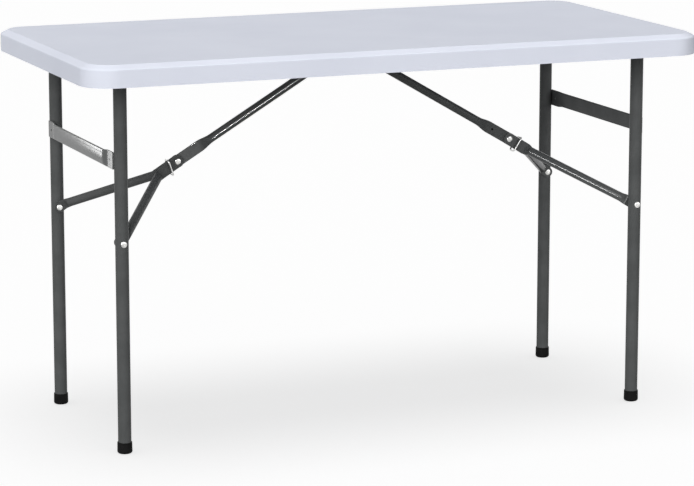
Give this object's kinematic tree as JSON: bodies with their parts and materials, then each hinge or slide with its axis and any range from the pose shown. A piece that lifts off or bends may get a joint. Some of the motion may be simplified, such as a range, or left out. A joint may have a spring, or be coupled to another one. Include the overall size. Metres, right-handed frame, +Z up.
{
  "type": "folding table",
  "caption": "Rectangular folding table with a hollow moulded plastic top and tubular steel leg frames that swing in under it, each held upright by a forked brace with a ring lock.",
  "frame": {"origin": "on the floor under the middle of the top", "axes": "+X along the table's length to the right in the picture, +Y to the rear, +Z up"},
  "size_m": [1.216, 0.603, 0.728],
  "materials": {
    "top_plastic": "fine-grained",
    "frame_paint": "satin powder coat",
    "bright_steel": "zinc plated",
    "wire_steel": "bright wire",
    "foot_plastic": "matt black"
  },
  "bodies": {
    "top": {"table_top": "top_plastic", "front_rail": "frame_paint", "rear_rail": "frame_paint", "strut_bracket": "frame_paint", "rail_screws": "bright_steel", "bracket_screws": "bright_steel", "left_strut_pin": "bright_steel", "right_strut_pin": "bright_steel"},
    "left_leg_frame": {"left_front_leg": "frame_paint", "left_rear_leg": "frame_paint", "left_front_foot": "foot_plastic", "left_rear_foot": "foot_plastic", "left_hinge_tube": "frame_paint", "left_hinge_plugs": "foot_plastic", "left_cross_bar": "frame_paint", "left_leg_rivets": "bright_steel"},
    "left_strut": {"left_strut": "frame_paint"},
    "left_wishbone": {"left_front_arm": "frame_paint", "left_rear_arm": "frame_paint", "left_knuckle_rivet": "bright_steel", "left_arm_rivets": "bright_steel"},
    "left_ring": {"left_lock_ring": "wire_steel"},
    "right_leg_frame": {"right_front_leg": "frame_paint", "right_rear_leg": "frame_paint", "right_front_foot": "foot_plastic", "right_rear_foot": "foot_plastic", "right_hinge_tube": "frame_paint", "right_hinge_plugs": "foot_plastic", "right_cross_bar": "frame_paint", "right_leg_rivets": "bright_steel"},
    "right_strut": {"right_strut": "frame_paint"},
    "right_wishbone": {"right_front_arm": "frame_paint", "right_rear_arm": "frame_paint", "right_knuckle_rivet": "bright_steel", "right_arm_rivets": "bright_steel"},
    "right_ring": {"right_lock_ring": "wire_steel"}
  },
  "joints": [
    {"name": "left_fold", "type": "hinge", "parent": "top", "child": "left_leg_frame", "pos_m": [-0.494, 0, 0.693], "axis": [0, -1, 0], "range_deg": [0, 90]},
    {"name": "left_strut_turn", "type": "hinge", "parent": "top", "child": "left_strut", "pos_m": [-0.01, 0, 0.692], "axis": [0, 1, 0], "range_deg": [0, 30.45]},
    {"name": "left_wishbone_turn", "type": "hinge", "parent": "left_strut", "child": "left_wishbone", "pos_m": [-0.3427, 0, 0.49764], "axis": [0, -1, 0], "range_deg": [0, 172.2]},
    {"name": "left_ring_slide", "type": "slide", "parent": "left_strut", "child": "left_ring", "axis": [0.8635, 0, 0.5044], "range_m": [0, 0.2101]},
    {"name": "right_fold", "type": "hinge", "parent": "top", "child": "right_leg_frame", "pos_m": [0.494, 0, 0.693], "axis": [0, 1, 0], "range_deg": [0, 84.5]},
    {"name": "right_strut_turn", "type": "hinge", "parent": "top", "child": "right_strut", "pos_m": [0.01, 0, 0.692], "axis": [0, -1, 0], "range_deg": [0, 29.38]},
    {"name": "right_wishbone_turn", "type": "hinge", "parent": "right_strut", "child": "right_wishbone", "pos_m": [0.3427, 0, 0.49764], "axis": [0, 1, 0], "range_deg": [0, 164.98]},
    {"name": "right_ring_slide", "type": "slide", "parent": "right_strut", "child": "right_ring", "axis": [-0.8635, 0, 0.5044], "range_m": [0, 0.2101]}
  ],
  "couplings": [
    {"joint": "left_strut_turn", "follows": "left_fold", "ratio": 0.33821},
    {"joint": "left_wishbone_turn", "follows": "left_fold", "ratio": 1.9132},
    {"joint": "left_ring_slide", "follows": "left_fold", "m_per_rad": 0.13369},
    {"joint": "right_strut_turn", "follows": "right_fold", "ratio": 0.34758},
    {"joint": "right_wishbone_turn", "follows": "right_fold", "ratio": 1.9524},
    {"joint": "right_ring_slide", "follows": "right_fold", "m_per_rad": 0.14239}
  ]
}
